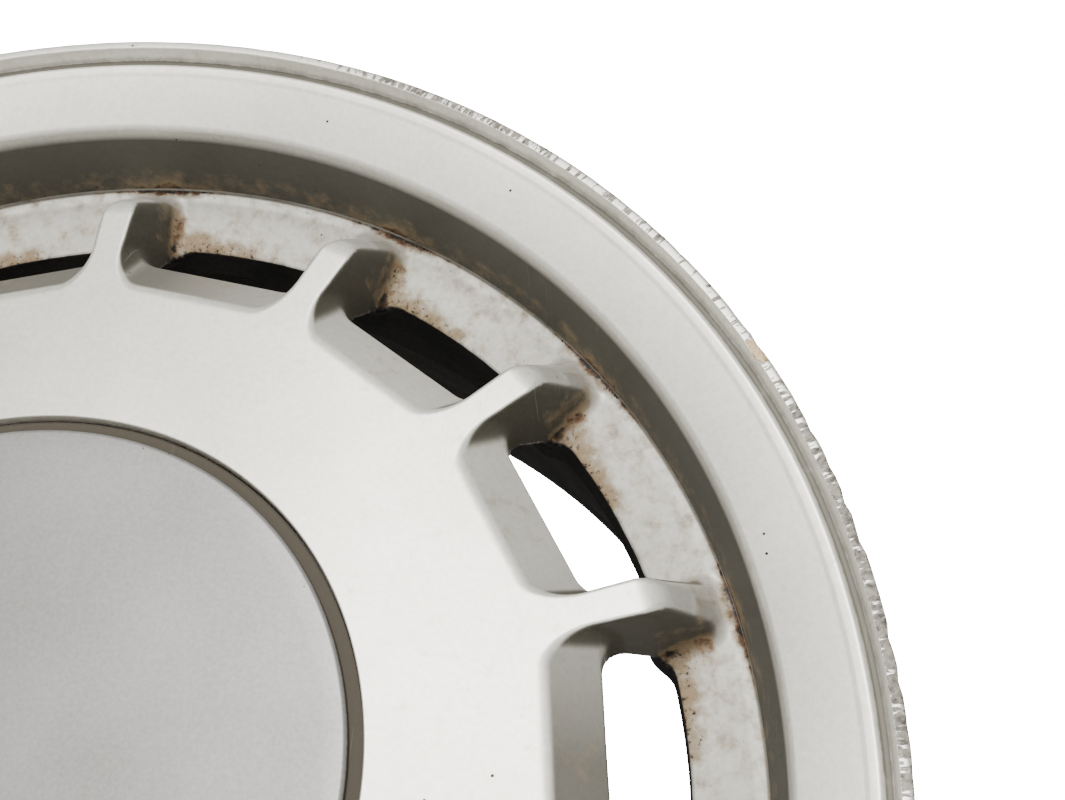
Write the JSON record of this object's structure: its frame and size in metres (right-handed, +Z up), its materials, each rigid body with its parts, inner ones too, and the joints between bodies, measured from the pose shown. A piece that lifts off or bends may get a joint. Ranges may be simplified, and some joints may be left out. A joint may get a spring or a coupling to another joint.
{
  "type": "road wheel",
  "caption": "One-piece light-alloy road wheel with a ring of vent windows, a large plain centre cap on spring clips, a clamp-in valve and stuck-on balance weights.",
  "frame": {"origin": "centre of the wheel: on its axis, half way between the front and rear faces of the rim", "axes": "+Z up, the wheel's axis along Y, its outer face towards -Y"},
  "size_m": [0.4148, 0.19, 0.4148],
  "materials": {
    "silver_lacquer": "silver lacquer on cast alloy, worn at the lip",
    "cap_paint": "satin silver paint on moulded plastic",
    "clip_steel": "bare spring steel",
    "plated_brass": "nickel plate",
    "core_brass": "turned",
    "valve_rubber": "matt",
    "dust_cap_plastic": "satin",
    "weight_zinc": "dull grey",
    "foam_tape": "matt"
  },
  "bodies": {
    "wheel": {"wheel_casting": "silver_lacquer", "valve_stem": "plated_brass", "valve_grommet": "valve_rubber", "valve_washer": "plated_brass", "valve_nut": "plated_brass", "valve_core": "core_brass", "weight_tape": "foam_tape", "balance_weight_1": "weight_zinc", "balance_weight_2": "weight_zinc", "balance_weight_3": "weight_zinc", "balance_weight_4": "weight_zinc"},
    "cap": {"centre_cap": "cap_paint", "cap_clip_1": "clip_steel", "cap_clip_2": "clip_steel", "cap_clip_3": "clip_steel", "cap_clip_4": "clip_steel", "cap_clip_5": "clip_steel", "cap_clip_6": "clip_steel"},
    "dust_cap": {"valve_cap": "dust_cap_plastic"},
    "pin": {"valve_pin": "core_brass"}
  },
  "joints": [
    {"name": "cap_pull", "type": "slide", "parent": "wheel", "child": "cap", "axis": [0, -1, 0], "range_m": [0, 0.08]},
    {"name": "dust_cap_pull", "type": "slide", "parent": "wheel", "child": "dust_cap", "axis": [0, -0.9439, 0.3304], "range_m": [0, 0.02]},
    {"name": "pin_press", "type": "slide", "parent": "wheel", "child": "pin", "axis": [0, 0.9439, -0.3304], "range_m": [0, 0.0012], "stiffness_N_per_m": 500}
  ]
}
